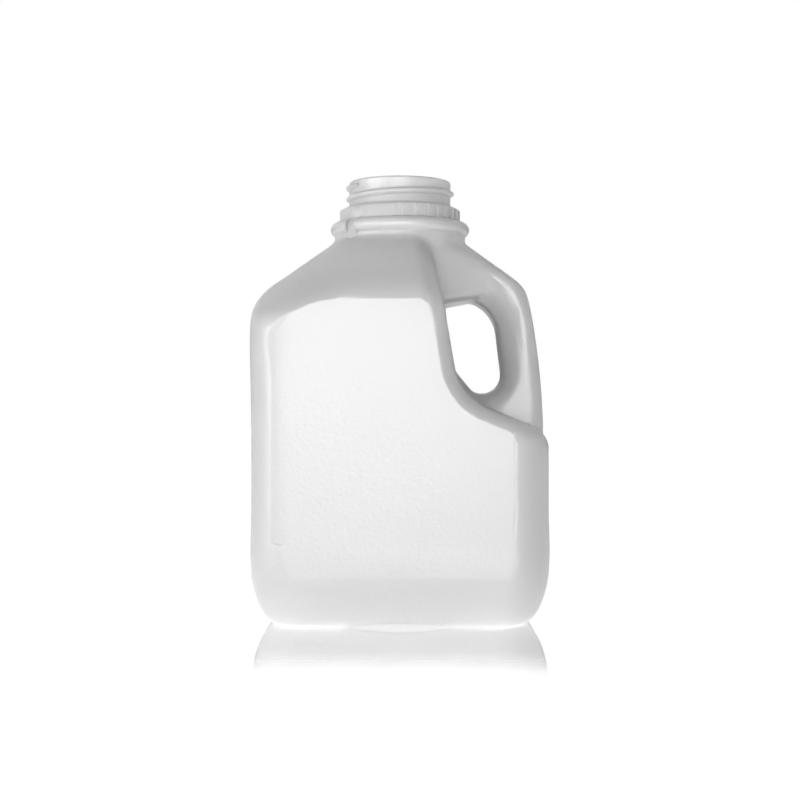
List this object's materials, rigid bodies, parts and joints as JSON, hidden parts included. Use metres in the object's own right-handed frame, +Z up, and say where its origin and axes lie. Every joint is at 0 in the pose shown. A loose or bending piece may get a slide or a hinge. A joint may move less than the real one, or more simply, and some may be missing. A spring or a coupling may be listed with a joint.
{
  "type": "plastic dairy bottle",
  "caption": "Empty square blow-moulded milk bottle with a sloping shoulder, a hollow through handle over a hand recess, and a ratcheted screw neck.",
  "frame": {"origin": "on the surface the bottle stands on, on the axis of the neck", "axes": "+Z up along the neck, +X towards the handle, -Y towards the front label panel"},
  "size_m": [0.0981, 0.0974, 0.149],
  "materials": {
    "milky_plastic": "natural milky polyethylene, satin, slightly translucent"
  },
  "bodies": {
    "root": {"bottle": "milky_plastic"}
  },
  "joints": []
}
